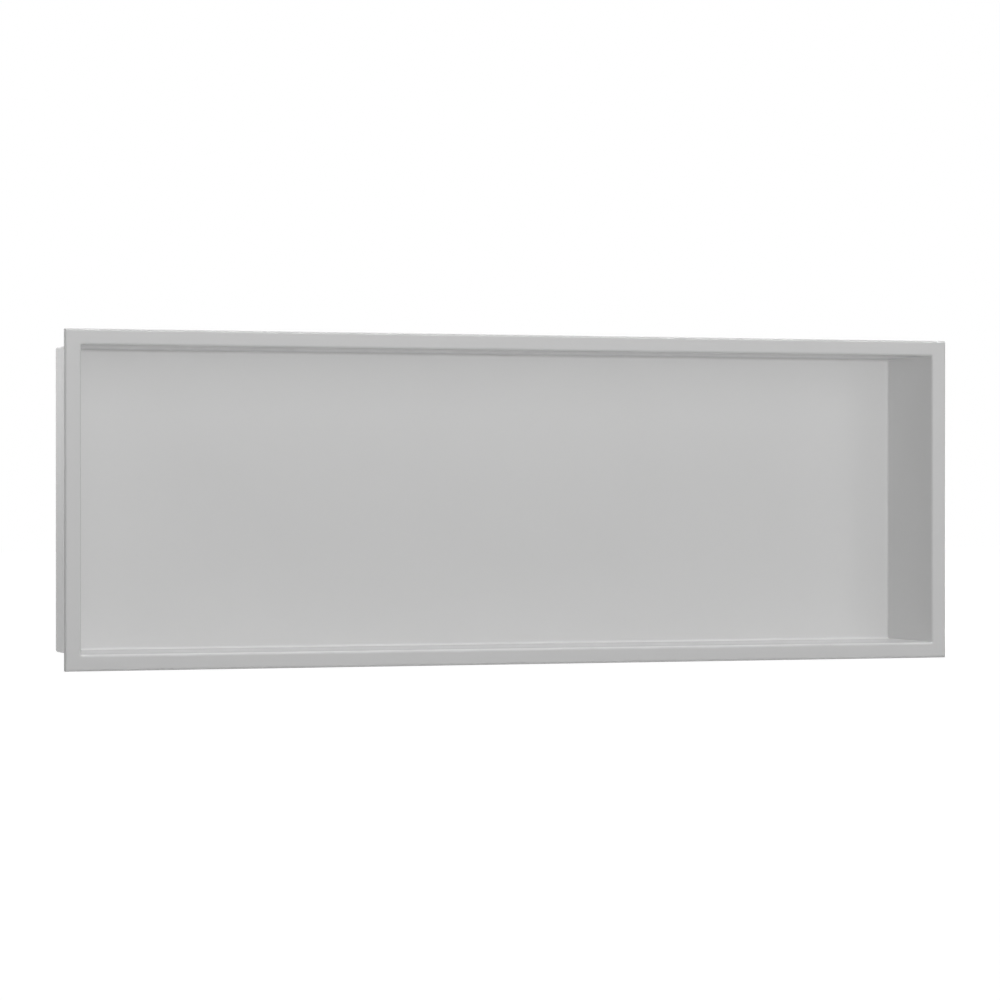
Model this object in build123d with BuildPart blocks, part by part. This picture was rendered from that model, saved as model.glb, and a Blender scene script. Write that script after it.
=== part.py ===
"""Shower niche insert: one painted steel sheet, folded into an open box with a shallow front frame.

+X runs along the niche, +Y into the wall and +Z up. The origin is the centre of the opening,
on the wall plane that the frame's rim rests against.
"""

import os

from build123d import *

# Driving dimensions, in millimetres
niche_width = 898.0  # clear width between the end walls
niche_height = 296.0  # clear height between the shelf and the ceiling
niche_depth = 106.0  # front of the frame to the inside of the back panel
face_width = 16.0  # flat border around the niche, from its outer edge to the opening
rim_depth = 4.0  # front of the frame to the rim that rests on the wall
sheet = 1.5  # thickness of the sheet
frame_fold = 1.0  # inside radius of the folds on both sides of the border
back_fold = 2.5  # inside radius of the folds around the back panel
seam_radius = 0.5  # inside radius of the welded and dressed corner seams
corner_radius = 1.0  # outside radius of the frame's four corners, welded and ground

# Places along the depth, from the wall plane
wall_y = 0.0
front_y = wall_y - rim_depth
back_y = front_y + niche_depth

# Sizes of the frame over its outer edges
frame_width = niche_width + 2 * face_width
frame_height = niche_height + 2 * face_width


def folded_block(width, height, open_y, closed_y, end_fold, seam):
    """A block along Y between its open and its closed end.

    The four edges around the closed end are rounded like a fold, and the four corners along
    the depth like a dressed seam. The open end keeps its square edges.
    """
    depth = abs(closed_y - open_y)
    middle_y = (open_y + closed_y) / 2
    closed_group = -1 if closed_y > open_y else 0
    with BuildPart() as block:
        with BuildSketch(Plane.XZ.offset(-open_y)):
            RectangleRounded(width, height, seam)
        extrude(amount=open_y - closed_y)
        with BuildSketch(Plane.YZ) as side_outline:
            with Locations((middle_y, 0)):
                Rectangle(depth, height)
            fillet(side_outline.vertices().group_by(Axis.X)[closed_group], end_fold)
        extrude(amount=width, both=True, mode=Mode.INTERSECT)
        with BuildSketch(Plane.XY) as plan_outline:
            with Locations((0, middle_y)):
                Rectangle(width, depth)
            fillet(plan_outline.vertices().group_by(Axis.Y)[closed_group], end_fold)
        extrude(amount=height, both=True, mode=Mode.INTERSECT)
    return block.part


# The frame: its border faces forward, and its outer edge is folded back into the rim
frame_outside = folded_block(
    frame_width, frame_height, wall_y, front_y, frame_fold + sheet, corner_radius
)
frame_inside = folded_block(
    frame_width - 2 * sheet, frame_height - 2 * sheet, wall_y, front_y + sheet, frame_fold, seam_radius
)

# The box: shelf, ceiling and end walls run back to the back panel
box_outside = folded_block(
    niche_width + 2 * sheet,
    niche_height + 2 * sheet,
    front_y,
    back_y + sheet,
    back_fold + sheet,
    seam_radius + sheet,
)
box_inside = folded_block(niche_width, niche_height, front_y, back_y, back_fold, seam_radius)

with BuildPart() as niche_body:
    # Frame as a shallow tray that is hollow towards the wall
    add(frame_outside)
    add(frame_inside, mode=Mode.SUBTRACT)

    # Box joined to the back of the border, with the inside of that fold
    add(box_outside)
    border_back = niche_body.faces().filter_by(Axis.Y).sort_by(Axis.Y)[1]
    fillet(border_back.inner_wires()[0].edges(), frame_fold)

    # Niche cut through the border, with the outside of the same fold around the opening
    add(box_inside, mode=Mode.SUBTRACT)
    border_front = niche_body.faces().filter_by(Axis.Y).sort_by(Axis.Y)[0]
    fillet(border_front.inner_wires()[0].edges(), frame_fold + sheet)

niche_body.part.label = "niche_body"

os.makedirs("parts", exist_ok=True)
export_step(niche_body.part, "parts/niche_body.step")
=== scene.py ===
"""Studio scene of a long shower niche insert, folded from one painted steel sheet.

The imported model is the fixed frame. The sheet is modelled again from the same sizes with smooth
folds, dressed in a satin grey powder coat and set in a plain white studio.
"""

import logging
import math
from collections.abc import Callable
from dataclasses import dataclass, field
from enum import Enum

import bmesh
import bpy
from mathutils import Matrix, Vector


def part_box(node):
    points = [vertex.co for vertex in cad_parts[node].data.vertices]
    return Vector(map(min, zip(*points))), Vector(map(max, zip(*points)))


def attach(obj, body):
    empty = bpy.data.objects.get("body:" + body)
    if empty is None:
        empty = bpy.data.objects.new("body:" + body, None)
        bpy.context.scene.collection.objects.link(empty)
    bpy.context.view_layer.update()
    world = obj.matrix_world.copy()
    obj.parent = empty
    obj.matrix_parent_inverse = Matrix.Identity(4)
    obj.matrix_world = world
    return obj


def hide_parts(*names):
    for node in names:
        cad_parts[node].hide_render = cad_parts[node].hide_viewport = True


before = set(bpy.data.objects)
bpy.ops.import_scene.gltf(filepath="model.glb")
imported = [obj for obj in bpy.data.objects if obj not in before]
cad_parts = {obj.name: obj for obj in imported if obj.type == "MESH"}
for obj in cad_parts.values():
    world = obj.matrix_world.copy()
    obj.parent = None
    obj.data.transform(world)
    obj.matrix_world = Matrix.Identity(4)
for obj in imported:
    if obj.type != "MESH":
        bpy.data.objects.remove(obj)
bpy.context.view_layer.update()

Place = tuple[float, float, float]
Colour = tuple[float, float, float, float]

MM = 0.001
TINY = 0.01 * MM
SAME_WAY = 0.999  # cosine above which two directions count as one
SQUARE_TURN = math.radians(80.0)  # faces that turn by more than this meet at a square edge
ROUND_PROFILE = 0.5  # bevel profile of a circular arc
LEVEL_TILT = math.radians(90.0)  # turn that brings a camera from straight down to level
CENTRE: Place = (0.0, 0.0, 0.0)
LOG = logging.getLogger("niche_scene")


class Pick(Enum):
    """Kinds of mesh element that an edit can select."""

    EDGE = "EDGE"
    FACE = "FACE"


class Facing(Enum):
    """Directions that name a side of the niche."""

    FRONT = (0.0, -1.0, 0.0)
    REAR = (0.0, 1.0, 0.0)


class MeshEdit:
    """Edit mode on one piece, with elements selected by their place or normal."""

    def __init__(self, piece: bpy.types.Object, pick: Pick) -> None:
        """Keeps what is edited.

        Args:
            piece: Mesh object to edit.
            pick: Kind of element that the edit selects.
        """
        self.piece = piece
        self.pick = pick

    def __enter__(self) -> "MeshEdit":
        """Opens edit mode with nothing selected.

        Returns:
            The edit itself.
        """
        make_active(self.piece)
        bpy.ops.object.mode_set(mode="EDIT")
        bpy.ops.mesh.select_mode(type=self.pick.value)
        bpy.ops.mesh.select_all(action="DESELECT")
        return self

    def __exit__(self, *problem: object) -> None:
        """Goes back to object mode."""
        bpy.ops.object.mode_set(mode="OBJECT")

    def cleared_mesh(self) -> bmesh.types.BMesh:
        """Deselects everything.

        Returns:
            The mesh under edit.
        """
        bpy.ops.mesh.select_all(action="DESELECT")
        return bmesh.from_edit_mesh(self.piece.data)

    def select_edges(self, test: Callable[[bmesh.types.BMEdge], bool]) -> None:
        """Selects only the edges that pass a test.

        Args:
            test: Says for an edge whether it is wanted.
        """
        grid = self.cleared_mesh()
        for edge in grid.edges:
            if test(edge):
                edge.select_set(True)
        bmesh.update_edit_mesh(self.piece.data)

    def select_faces(self, facing: Facing, y: float) -> None:
        """Selects only the flat faces that look one way and lie in one plane across the depth.

        Args:
            facing: The way the faces look.
            y: The plane's place along the depth.
        """
        grid = self.cleared_mesh()
        grid.normal_update()
        way = Vector(facing.value)
        for face in grid.faces:
            in_plane = abs(face.calc_center_median().y - y) < TINY
            if in_plane and face.normal.dot(way) > SAME_WAY:
                face.select_set(True)
        bmesh.update_edit_mesh(self.piece.data)


def make_active(piece: bpy.types.Object) -> None:
    """Selects one object alone and makes it active.

    Args:
        piece: The object.
    """
    bpy.ops.object.select_all(action="DESELECT")
    piece.select_set(True)
    bpy.context.view_layer.objects.active = piece


def add_block(name: str, low: Vector, high: Vector) -> bpy.types.Object:
    """Adds a cube stretched between two corners, with its place in its mesh.

    Args:
        name: Name of the object and its mesh.
        low: Lowest corner.
        high: Highest corner.

    Returns:
        The new object, at the origin and unscaled.
    """
    bpy.ops.object.select_all(action="DESELECT")
    bpy.ops.mesh.primitive_cube_add(size=1.0, location=(low + high) / 2)
    block = bpy.context.object
    block.scale = high - low
    bpy.ops.object.transform_apply(location=True, rotation=True, scale=True)
    block.name = name
    block.data.name = name
    return block


def apply_modifier(piece: bpy.types.Object, kind: str, **settings: object) -> None:
    """Adds a modifier to a piece and applies it.

    Args:
        piece: Mesh object.
        kind: Type of the modifier, such as BEVEL.
        settings: Values for the modifier's properties.
    """
    make_active(piece)
    modifier = piece.modifiers.new(kind.lower(), kind)
    for key, value in settings.items():
        setattr(modifier, key, value)
    bpy.ops.object.modifier_apply(modifier=modifier.name)


def join_pieces(first: bpy.types.Object, second: bpy.types.Object) -> bpy.types.Object:
    """Joins two mesh objects.

    Args:
        first: Object that stays.
        second: Object that is taken into the first.

    Returns:
        The first object, with both meshes.
    """
    make_active(first)
    second.select_set(True)
    bpy.ops.object.join()
    return first


def is_square_edge(edge: bmesh.types.BMEdge) -> bool:
    """Says whether two faces meet at an edge at about a right angle."""
    return len(edge.link_faces) == 2 and edge.calc_face_angle() > SQUARE_TURN


def lies_at(edge: bmesh.types.BMEdge, y: float) -> bool:
    """Says whether an edge lies in one plane across the depth."""
    return all(abs(vertex.co.y - y) < TINY for vertex in edge.verts)


def grey(level: float) -> Colour:
    """Gives an opaque neutral colour."""
    return (level, level, level, 1.0)


@dataclass(frozen=True)
class PaintRelief:
    """Node group for a sprayed surface: soft orange-peel waves with a fine grain over them."""

    name: str = "sprayed_surface"
    wave_detail: float = 1.0
    grain_detail: float = 2.0
    cloud_detail: float = 3.0
    grain_share: float = 0.25

    def group(self) -> bpy.types.NodeTree:
        """Builds the group once and returns it on later calls.

        Returns:
            A shader node group that takes the scales Waves, Grain and Cloud and puts out the
            relief as Height and a slow variation as Mottle.
        """
        if self.name in bpy.data.node_groups:
            return bpy.data.node_groups[self.name]
        tree = bpy.data.node_groups.new(self.name, "ShaderNodeTree")
        nodes, links = tree.nodes, tree.links
        details = {"Waves": self.wave_detail, "Grain": self.grain_detail, "Cloud": self.cloud_detail}
        for socket in details:
            tree.interface.new_socket(socket, in_out="INPUT", socket_type="NodeSocketFloat")
        for socket in ("Height", "Mottle"):
            tree.interface.new_socket(socket, in_out="OUTPUT", socket_type="NodeSocketFloat")
        entry = nodes.new("NodeGroupInput")
        leave = nodes.new("NodeGroupOutput")
        place = nodes.new("ShaderNodeTexCoord")
        fields = {}
        for socket, detail in details.items():
            noise = nodes.new("ShaderNodeTexNoise")
            noise.inputs["Detail"].default_value = detail
            links.new(place.outputs["Object"], noise.inputs["Vector"])
            links.new(entry.outputs[socket], noise.inputs["Scale"])
            fields[socket] = noise.outputs["Fac"]
        height = nodes.new("ShaderNodeMath")
        height.operation = "MULTIPLY_ADD"
        height.inputs[1].default_value = self.grain_share
        links.new(fields["Grain"], height.inputs[0])
        links.new(fields["Waves"], height.inputs[2])
        links.new(height.outputs["Value"], leave.inputs["Height"])
        links.new(fields["Cloud"], leave.inputs["Mottle"])
        return tree


@dataclass(frozen=True)
class PowderCoat:
    """Satin grey powder coat on steel sheet."""

    name: str = "satin_grey_powder_coat"
    slot: str = "painted_sheet"
    darker: float = 0.505
    lighter: float = 0.525
    smoothest: float = 0.24
    roughest: float = 0.28
    waves_per_metre: float = 420.0
    grains_per_metre: float = 2100.0
    clouds_per_metre: float = 9.0
    relief_depth: float = 0.02 * MM
    relief_strength: float = 0.2

    def material(self) -> bpy.types.Material:
        """Builds the material.

        Returns:
            A material whose colour, gloss and relief follow the object's own coordinates.
        """
        paint = bpy.data.materials.new(self.name)
        paint.use_nodes = True
        nodes, links = paint.node_tree.nodes, paint.node_tree.links
        shader = nodes["Principled BSDF"]
        relief = nodes.new("ShaderNodeGroup")
        relief.node_tree = PaintRelief().group()
        relief.inputs["Waves"].default_value = self.waves_per_metre
        relief.inputs["Grain"].default_value = self.grains_per_metre
        relief.inputs["Cloud"].default_value = self.clouds_per_metre
        tone = nodes.new("ShaderNodeMix")
        tone.data_type = "RGBA"
        tone.inputs["A"].default_value = grey(self.darker)
        tone.inputs["B"].default_value = grey(self.lighter)
        links.new(relief.outputs["Mottle"], tone.inputs["Factor"])
        links.new(tone.outputs["Result"], shader.inputs["Base Color"])
        gloss = nodes.new("ShaderNodeMapRange")
        gloss.inputs["To Min"].default_value = self.smoothest
        gloss.inputs["To Max"].default_value = self.roughest
        links.new(relief.outputs["Mottle"], gloss.inputs["Value"])
        links.new(gloss.outputs["Result"], shader.inputs["Roughness"])
        bump = nodes.new("ShaderNodeBump")
        bump.inputs["Strength"].default_value = self.relief_strength
        bump.inputs["Distance"].default_value = self.relief_depth
        links.new(relief.outputs["Height"], bump.inputs["Height"])
        links.new(bump.outputs["Normal"], shader.inputs["Normal"])
        return paint


@dataclass(frozen=True)
class SheetSide:
    """Places and radii of one side of the folded sheet.

    The box reaches from its opening to its back, and the frame from its front to the wall.
    """

    name: str
    box_low: Vector
    box_high: Vector
    frame_low: Vector
    frame_high: Vector
    back_fold: float
    seam: float
    opening_fold: float
    frame_fold: float
    corner: float


@dataclass
class NicheBody:
    """The folded sheet: box, border and rim, with the seen side and the side towards the wall.

    Fold and seam radii are inside radii, and the corner radius is the frame's outside one. The wall
    is a place along the depth, and the collar is the strip that the opening is first turned out into.
    """

    node: str = "niche_body"
    face_width: float = 16.0 * MM
    sheet: float = 1.5 * MM
    frame_fold: float = 1.0 * MM
    back_fold: float = 2.5 * MM
    seam_radius: float = 0.5 * MM
    corner_radius: float = 1.0 * MM
    wall: float = 0.0
    collar: float = 6.0 * MM
    fold_steps: int = 8
    smooth_angle: float = math.radians(35.0)
    flat_face_weight: int = 100
    finish: PowderCoat = field(default_factory=PowderCoat)
    low: Vector = field(init=False)
    high: Vector = field(init=False)

    def __post_init__(self) -> None:
        """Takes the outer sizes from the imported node."""
        self.low, self.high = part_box(self.node)

    def build(self) -> bpy.types.Object:
        """Models both sides of the sheet, closes it along the rim and dresses it.

        Returns:
            The finished piece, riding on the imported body.
        """
        seen = self.skin(self.seen_side())
        hidden = self.skin(self.wall_side())
        piece = self.close_rim(seen, hidden)
        self.smooth(piece)
        self.dress(piece)
        return piece

    def seen_side(self) -> SheetSide:
        """Gives the side that faces the room and the inside of the niche.

        Returns:
            Its places and radii.
        """
        margin = Vector((self.face_width, 0.0, self.face_width))
        back = Vector((0.0, self.sheet, 0.0))
        return SheetSide(
            name="seen_side",
            box_low=self.low + margin,
            box_high=self.high - margin - back,
            frame_low=self.low,
            frame_high=Vector((self.high.x, self.wall, self.high.z)),
            back_fold=self.back_fold,
            seam=self.seam_radius,
            opening_fold=self.frame_fold + self.sheet,
            frame_fold=self.frame_fold + self.sheet,
            corner=self.corner_radius,
        )

    def wall_side(self) -> SheetSide:
        """Gives the side towards the wall, one sheet thickness behind the seen side.

        Returns:
            Its places and radii.
        """
        seen = self.seen_side()
        across = Vector((self.sheet, 0.0, self.sheet))
        behind = Vector((0.0, self.sheet, 0.0))
        return SheetSide(
            name="wall_side",
            box_low=seen.box_low - across + behind,
            box_high=seen.box_high + across + behind,
            frame_low=seen.frame_low + across + behind,
            frame_high=seen.frame_high - across,
            back_fold=self.back_fold + self.sheet,
            seam=self.seam_radius + self.sheet,
            opening_fold=self.frame_fold,
            frame_fold=self.frame_fold,
            corner=self.seam_radius,
        )

    def skin(self, side: SheetSide) -> bpy.types.Object:
        """Models one side of the sheet from the rim to the back panel.

        Args:
            side: Places and radii of the side.

        Returns:
            A skin without thickness, open along the rim.
        """
        skin = self.box_skin(side)
        self.turn_out_opening(skin, side)
        return self.join_border(skin, self.frame_skin(side), side)

    def box_skin(self, side: SheetSide) -> bpy.types.Object:
        """Models an open box with rounded back edges and seams.

        Args:
            side: Places and radii of the side.

        Returns:
            The skin of the box, open towards the front.
        """
        skin = add_block(side.name, side.box_low, side.box_high)
        self.round_block(skin, side.box_high.y, side.back_fold, side.seam)
        with MeshEdit(skin, Pick.FACE) as edit:
            edit.select_faces(Facing.FRONT, side.box_low.y)
            bpy.ops.mesh.delete(type="ONLY_FACE")
        return skin

    def round_block(self, block: bpy.types.Object, closed_y: float, fold: float, seam: float) -> None:
        """Rounds the edges around a block's closed end like a fold, and those along its depth like a seam.

        Args:
            block: A plain block.
            closed_y: Place of the closed end along the depth.
            fold: Radius around the closed end.
            seam: Radius of the four corners along the depth.
        """
        widest = max(fold, seam)
        weights = block.data.attributes.new("bevel_weight_edge", "FLOAT", "EDGE")
        for edge in block.data.edges:
            start, end = (block.data.vertices[i].co for i in edge.vertices)
            along_depth = abs(start.y - end.y) > TINY
            around_end = not along_depth and abs(start.y - closed_y) < TINY
            width = seam if along_depth else fold if around_end else 0.0
            weights.data[edge.index].value = width / widest
        apply_modifier(
            block,
            "BEVEL",
            limit_method="WEIGHT",
            width=widest,
            segments=self.fold_steps,
            use_clamp_overlap=False,
        )

    def turn_out_opening(self, skin: bpy.types.Object, side: SheetSide) -> None:
        """Folds the front edge of the box outwards into a narrow flat collar.

        Args:
            skin: The open box.
            side: Places and radii of the side.
        """
        with MeshEdit(skin, Pick.EDGE) as edit:
            edit.select_edges(lambda edge: edge.is_boundary)
            bpy.ops.mesh.extrude_edges_move(TRANSFORM_OT_translate={"value": (0.0, -self.collar, 0.0)})
            bpy.ops.transform.shrink_fatten(value=self.collar, use_even_offset=True)
            bpy.ops.transform.translate(value=(0.0, self.collar, 0.0))
            edit.select_edges(is_square_edge)
            bpy.ops.mesh.bevel(
                offset=side.opening_fold,
                segments=self.fold_steps,
                profile=ROUND_PROFILE,
                clamp_overlap=False,
            )

    def frame_skin(self, side: SheetSide) -> bpy.types.Object:
        """Models the frame's outer edge, folded back to the wall.

        Args:
            side: Places and radii of the side.

        Returns:
            A band around the frame, open towards the wall and in the plane of the border.
        """
        band = add_block("frame_edge", side.frame_low, side.frame_high)
        self.round_block(band, side.frame_low.y, side.frame_fold, side.corner)
        with MeshEdit(band, Pick.FACE) as edit:
            edit.select_faces(Facing.FRONT, side.frame_low.y)
            bpy.ops.mesh.delete(type="ONLY_FACE")
            edit.select_faces(Facing.REAR, self.wall)
            bpy.ops.mesh.delete(type="ONLY_FACE")
        return band

    def join_border(
        self, skin: bpy.types.Object, band: bpy.types.Object, side: SheetSide
    ) -> bpy.types.Object:
        """Joins the box and the frame's outer edge by the flat border between them.

        Args:
            skin: The box with its collar.
            band: The frame's outer edge.
            side: Places and radii of the side.

        Returns:
            One skin from the rim to the back panel.
        """
        joined = join_pieces(skin, band)
        with MeshEdit(joined, Pick.EDGE) as edit:
            edit.select_edges(lambda edge: edge.is_boundary and lies_at(edge, side.frame_low.y))
            bpy.ops.mesh.fill(use_beauty=True)
        return joined

    def close_rim(self, seen: bpy.types.Object, hidden: bpy.types.Object) -> bpy.types.Object:
        """Joins both sides of the sheet along the rim that rests on the wall.

        Args:
            seen: Skin of the seen side.
            hidden: Skin of the side towards the wall.

        Returns:
            The closed sheet, with its normals outwards.
        """
        sheet = join_pieces(seen, hidden)
        with MeshEdit(sheet, Pick.EDGE) as edit:
            edit.select_edges(lambda edge: edge.is_boundary)
            bpy.ops.mesh.fill(use_beauty=True)
            bpy.ops.mesh.select_all(action="SELECT")
            bpy.ops.mesh.remove_doubles(threshold=TINY)
            bpy.ops.mesh.normals_make_consistent(inside=False)
        sheet.name = "niche_sheet"
        sheet.data.name = "niche_sheet"
        return sheet

    def smooth(self, sheet: bpy.types.Object) -> None:
        """Shades the folds round and keeps the panels flat.

        Args:
            sheet: The closed sheet.
        """
        make_active(sheet)
        bpy.ops.object.shade_smooth_by_angle(angle=self.smooth_angle)
        apply_modifier(
            sheet, "WEIGHTED_NORMAL", mode="FACE_AREA", keep_sharp=True, weight=self.flat_face_weight
        )

    def dress(self, sheet: bpy.types.Object) -> None:
        """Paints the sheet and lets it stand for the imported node.

        Args:
            sheet: The finished mesh.
        """
        sheet.data.materials.clear()
        sheet.data.materials.append(self.finish.material())
        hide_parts(self.node)
        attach(sheet, "root")


@dataclass(frozen=True)
class PaleFloor:
    """Plain pale studio floor, white to the camera except where the niche shades it."""

    height: float = -0.55
    size: float = 60.0
    tone: float = 0.8
    lift: float = 0.78

    def build(self) -> bpy.types.Object:
        """Lays the floor.

        Returns:
            The floor.
        """
        bpy.ops.object.select_all(action="DESELECT")
        bpy.ops.mesh.primitive_plane_add(size=self.size, location=(0.0, 0.0, self.height))
        floor = bpy.context.object
        floor.name = "studio_floor"
        floor.data.materials.append(self.material())
        return floor

    def material(self) -> bpy.types.Material:
        """Builds the floor's matte white, lifted where it is seen directly or in a reflection.

        Returns:
            The floor's material.
        """
        matte = bpy.data.materials.new("matte_white_floor")
        matte.use_nodes = True
        nodes, links = matte.node_tree.nodes, matte.node_tree.links
        nodes.clear()
        leave = nodes.new("ShaderNodeOutputMaterial")
        both = nodes.new("ShaderNodeAddShader")
        board = nodes.new("ShaderNodeBsdfDiffuse")
        board.inputs["Color"].default_value = grey(self.tone)
        glow = nodes.new("ShaderNodeEmission")
        level = nodes.new("ShaderNodeMath")
        level.operation = "MULTIPLY"
        level.inputs[1].default_value = self.lift
        links.new(seen_mask(nodes, links), level.inputs[0])
        links.new(level.outputs["Value"], glow.inputs["Strength"])
        links.new(board.outputs["BSDF"], both.inputs[0])
        links.new(glow.outputs["Emission"], both.inputs[1])
        links.new(both.outputs["Shader"], leave.inputs["Surface"])
        return matte


def seen_mask(nodes: bpy.types.Nodes, links: bpy.types.NodeLinks) -> bpy.types.NodeSocket:
    """Adds nodes that give 1 for camera, glossy and transmitted rays, and 0 for the others.

    Args:
        nodes: Nodes of the tree to add to.
        links: Links of the same tree.

    Returns:
        The socket with the mask.
    """
    rays = nodes.new("ShaderNodeLightPath")
    mask = rays.outputs["Is Camera Ray"]
    for kind in ("Is Glossy Ray", "Is Transmission Ray"):
        either = nodes.new("ShaderNodeMath")
        either.operation = "MAXIMUM"
        links.new(mask, either.inputs[0])
        links.new(rays.outputs[kind], either.inputs[1])
        mask = either.outputs["Value"]
    return mask


class LampRole(Enum):
    """What a softbox does in the studio."""

    KEY = "lights the niche, with shadows"
    FILL = "lifts the shades on the niche, without shadows"


@dataclass(frozen=True)
class Softbox:
    """A rectangular soft light that points at one place and falls on the niche alone."""

    name: str
    role: LampRole
    place: Place
    width: float
    height: float
    watts: float
    aim: Place = CENTRE
    spread: float = math.radians(180.0)

    def build(self, niche_alone: bpy.types.Collection) -> bpy.types.Object:
        """Hangs the light.

        Args:
            niche_alone: Collection with what the light falls on.

        Returns:
            The lamp object.
        """
        lamp = bpy.data.lights.new(self.name, "AREA")
        lamp.shape = "RECTANGLE"
        lamp.size = self.width
        lamp.size_y = self.height
        lamp.spread = self.spread
        lamp.energy = self.watts
        holder = bpy.data.objects.new(self.name, lamp)
        holder.location = self.place
        way = Vector(self.aim) - Vector(self.place)
        holder.rotation_euler = way.to_track_quat("-Z", "Y").to_euler()
        bpy.context.scene.collection.objects.link(holder)
        holder.light_linking.receiver_collection = niche_alone
        if self.role is LampRole.FILL:
            lamp.use_shadow = False
            lamp.cycles.use_multiple_importance_sampling = False
        return holder


@dataclass(frozen=True)
class EvenLight:
    """A soft even light from straight above, which lays the niche's shadow on the floor."""

    name: str = "even_overhead"
    strength: float = 0.6
    spread: float = math.radians(30.0)
    height: float = 3.0

    def build(self) -> bpy.types.Object:
        """Hangs the light.

        Returns:
            The lamp object.
        """
        lamp = bpy.data.lights.new(self.name, "SUN")
        lamp.energy = self.strength
        lamp.angle = self.spread
        holder = bpy.data.objects.new(self.name, lamp)
        holder.location = (0.0, 0.0, self.height)
        bpy.context.scene.collection.objects.link(holder)
        return holder


@dataclass
class Studio:
    """White surroundings and soft lamps."""

    ambient: float = 0.1
    overhead: EvenLight = EvenLight()
    softboxes: tuple[Softbox, ...] = (
        Softbox("front", LampRole.KEY, place=(0.0, -4.2, 1.0), width=5.0, height=2.4, watts=38.0),
        Softbox("high_front", LampRole.KEY, place=(0.0, -3.5, 2.0), width=5.0, height=0.6, watts=5.3),
        Softbox("rear", LampRole.KEY, place=(2.4, 4.0, -0.2), width=3.0, height=0.8, watts=110.0),
        Softbox(
            "left_spot",
            LampRole.KEY,
            place=(-0.66, 0.044, 0.292),
            width=0.12,
            height=0.12,
            watts=0.067,
            aim=(-0.47, 0.12, 0.09),
            spread=math.radians(55.7),
        ),
        Softbox("front_fill", LampRole.FILL, place=(0.0, -2.4, 1.6), width=5.0, height=0.5, watts=54.0),
        Softbox("top_fill", LampRole.FILL, place=(0.0, -0.5, 3.0), width=4.0, height=3.0, watts=42.0),
        Softbox("low_fill", LampRole.FILL, place=(0.0, -0.5, -3.0), width=4.0, height=3.0, watts=27.5),
        Softbox("left_rear_fill", LampRole.FILL, place=(-2.5, 2.5, 1.0), width=1.5, height=1.5, watts=13.5),
        Softbox("right_fill", LampRole.FILL, place=(3.0, -3.0, 0.5), width=2.0, height=2.0, watts=7.0),
    )

    def build(self, niche: bpy.types.Object) -> None:
        """Sets the surroundings and hangs the lamps.

        Args:
            niche: The piece that the softboxes light.
        """
        self.surroundings()
        self.overhead.build()
        niche_alone = bpy.data.collections.new("softbox_receiver")
        niche_alone.objects.link(niche)
        for softbox in self.softboxes:
            softbox.build(niche_alone)

    def surroundings(self) -> None:
        """Makes the surroundings white where they are seen, and a plain even light on the niche."""
        world = bpy.data.worlds.new("white_studio")
        world.use_nodes = True
        nodes, links = world.node_tree.nodes, world.node_tree.links
        sky = nodes["Background"]
        sky.inputs["Color"].default_value = grey(1.0)
        level = nodes.new("ShaderNodeMapRange")
        level.inputs["To Min"].default_value = self.ambient
        level.inputs["To Max"].default_value = 1.0
        links.new(seen_mask(nodes, links), level.inputs["Value"])
        links.new(level.outputs["Result"], sky.inputs["Strength"])
        bpy.context.scene.world = world


@dataclass(frozen=True)
class PhotoCamera:
    """Level long-lens camera to the left of the niche."""

    lens_mm: float = 134.73
    sensor_mm: float = 36.0
    place: Place = (-1.2581, -3.5094, 0.0088)
    yaw: float = math.radians(19.381)
    pitch: float = math.radians(-0.141)

    def build(self) -> bpy.types.Object:
        """Sets up the camera and makes it the scene's own.

        Returns:
            The camera object.
        """
        optics = bpy.data.cameras.new("photo_camera")
        optics.lens = self.lens_mm
        optics.sensor_width = self.sensor_mm
        optics.dof.use_dof = False
        camera = bpy.data.objects.new("photo_camera", optics)
        camera.location = self.place
        camera.rotation_euler = (LEVEL_TILT + self.pitch, 0.0, -self.yaw)
        bpy.context.scene.collection.objects.link(camera)
        bpy.context.scene.camera = camera
        return camera


def main() -> None:
    """Builds the niche, the studio and the camera."""
    logging.basicConfig(level=logging.INFO, format="%(name)s: %(message)s")
    bpy.context.scene.view_settings.view_transform = "Standard"
    niche = NicheBody().build()
    LOG.info("%s: %d faces on body root", niche.name, len(niche.data.polygons))
    floor = PaleFloor().build()
    LOG.info("%s: stage", floor.name)
    Studio().build(niche)
    camera = PhotoCamera().build()
    LOG.info("%s: %.1f mm lens", camera.name, camera.data.lens)


if __name__ == "__main__":
    main()
